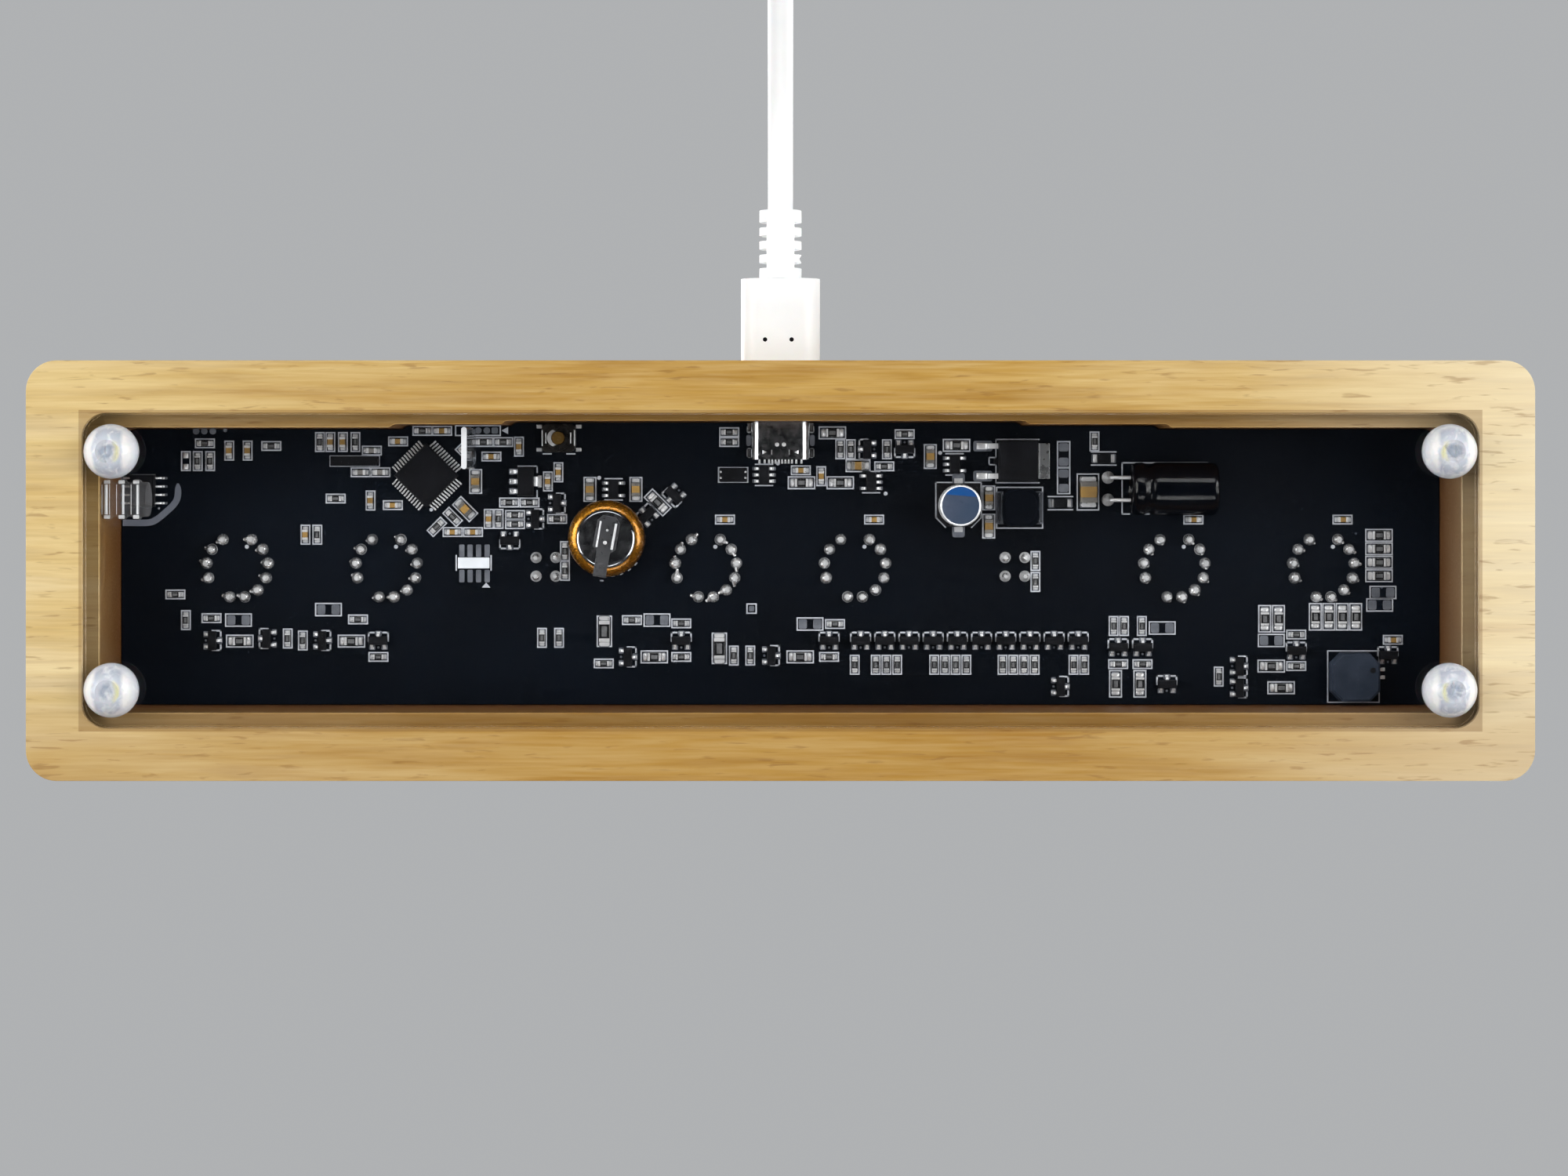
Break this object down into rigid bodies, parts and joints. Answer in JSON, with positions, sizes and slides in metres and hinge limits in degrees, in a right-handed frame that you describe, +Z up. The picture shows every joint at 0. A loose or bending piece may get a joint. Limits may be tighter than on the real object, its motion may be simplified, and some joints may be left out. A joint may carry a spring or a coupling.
{
  "type": "nixie tube clock",
  "caption": "Long wooden clock case with a row of glass nixie tubes and neon colon lamps, its circuit board behind a clear base panel, and a white power cable.",
  "frame": {"origin": "on the table under the middle of the case, at the bottom of the feet", "axes": "+Z up, -Y towards the front where the digits are read, +X to the viewer's right"},
  "size_m": [0.2214, 0.1871, 0.083],
  "materials": {
    "wood_case": "oiled, fine open grain",
    "base_panel": "clear polished acrylic",
    "foot": "translucent soft",
    "main_board": "black solder mask",
    "tube_spacers": "moulded",
    "tube_glass": "clear blown glass",
    "cathode": "thin etched sheet",
    "anode": "dark sheet and mesh",
    "lead": "tinned wire and solder",
    "lamp_glass": "clear glass",
    "plated_shell": "nickel plated",
    "white_cable": "soft moulded",
    "chip_body": "moulded epoxy",
    "backup_cell": "yellow sleeve over steel",
    "high_voltage_capacitor": "shrink sleeve",
    "can_capacitor": "bare can with blue segment",
    "power_inductor": "ferrite",
    "reset_switch": "stamped cover",
    "reset_button": "moulded",
    "buzzer": "moulded",
    "light_guide": "clear moulded",
    "light_fin": "clear moulded",
    "chip_resistors": "black glaze with tinned ends",
    "chip_capacitors": "ceramic with tinned ends"
  },
  "bodies": {
    "clock": {"wood_case": "wood_case", "base_panel": "base_panel", "foot_front_left": "foot", "foot_front_right": "foot", "foot_rear_left": "foot", "foot_rear_right": "foot", "main_board": "main_board", "tube_spacers": "tube_spacers", "tube_glass_1": "tube_glass", "tube_glass_2": "tube_glass", "tube_glass_3": "tube_glass", "tube_glass_4": "tube_glass", "tube_glass_5": "tube_glass", "tube_glass_6": "tube_glass", "tube_cathodes_1": "cathode", "tube_cathodes_2": "cathode", "tube_cathodes_3": "cathode", "tube_cathodes_4": "cathode", "tube_cathodes_5": "cathode", "tube_cathodes_6": "cathode", "tube_anode_1": "anode", "tube_anode_2": "anode", "tube_anode_3": "anode", "tube_anode_4": "anode", "tube_anode_5": "anode", "tube_anode_6": "anode", "tube_leads_1": "lead", "tube_leads_2": "lead", "tube_leads_3": "lead", "tube_leads_4": "lead", "tube_leads_5": "lead", "tube_leads_6": "lead", "colon_glass_left": "lamp_glass", "colon_glass_right": "lamp_glass", "colon_leads_left": "lead", "colon_leads_right": "lead", "usb_receptacle": "plated_shell", "microcontroller": "chip_body", "clock_chip": "chip_body", "backup_cell": "backup_cell", "high_voltage_capacitor": "high_voltage_capacitor", "can_capacitor": "can_capacitor", "power_inductor": "power_inductor", "power_transistor": "chip_body", "reset_switch": "reset_switch", "buzzer": "buzzer", "light_guide": "light_guide", "light_fin": "light_fin", "chip_resistors": "chip_resistors", "chip_capacitors": "chip_capacitors", "small_transistors": "chip_body", "small_chips": "chip_body"},
    "reset_button": {"reset_button": "reset_button"},
    "usb_cable": {"plug_shell": "plated_shell", "plug_grip": "white_cable", "cable_lead": "white_cable", "cable_coil": "white_cable", "cable_tail": "white_cable", "wall_plug_shell": "plated_shell", "wall_plug_grip": "white_cable"}
  },
  "joints": [
    {"name": "reset_press", "type": "slide", "parent": "clock", "child": "reset_button", "axis": [0, 0, 1], "range_m": [0, 0.0003], "stiffness_N_per_m": 500},
    {"name": "usb_unplug", "type": "slide", "parent": "clock", "child": "usb_cable", "axis": [0, 1, 0], "range_m": [0, 0.008]}
  ]
}
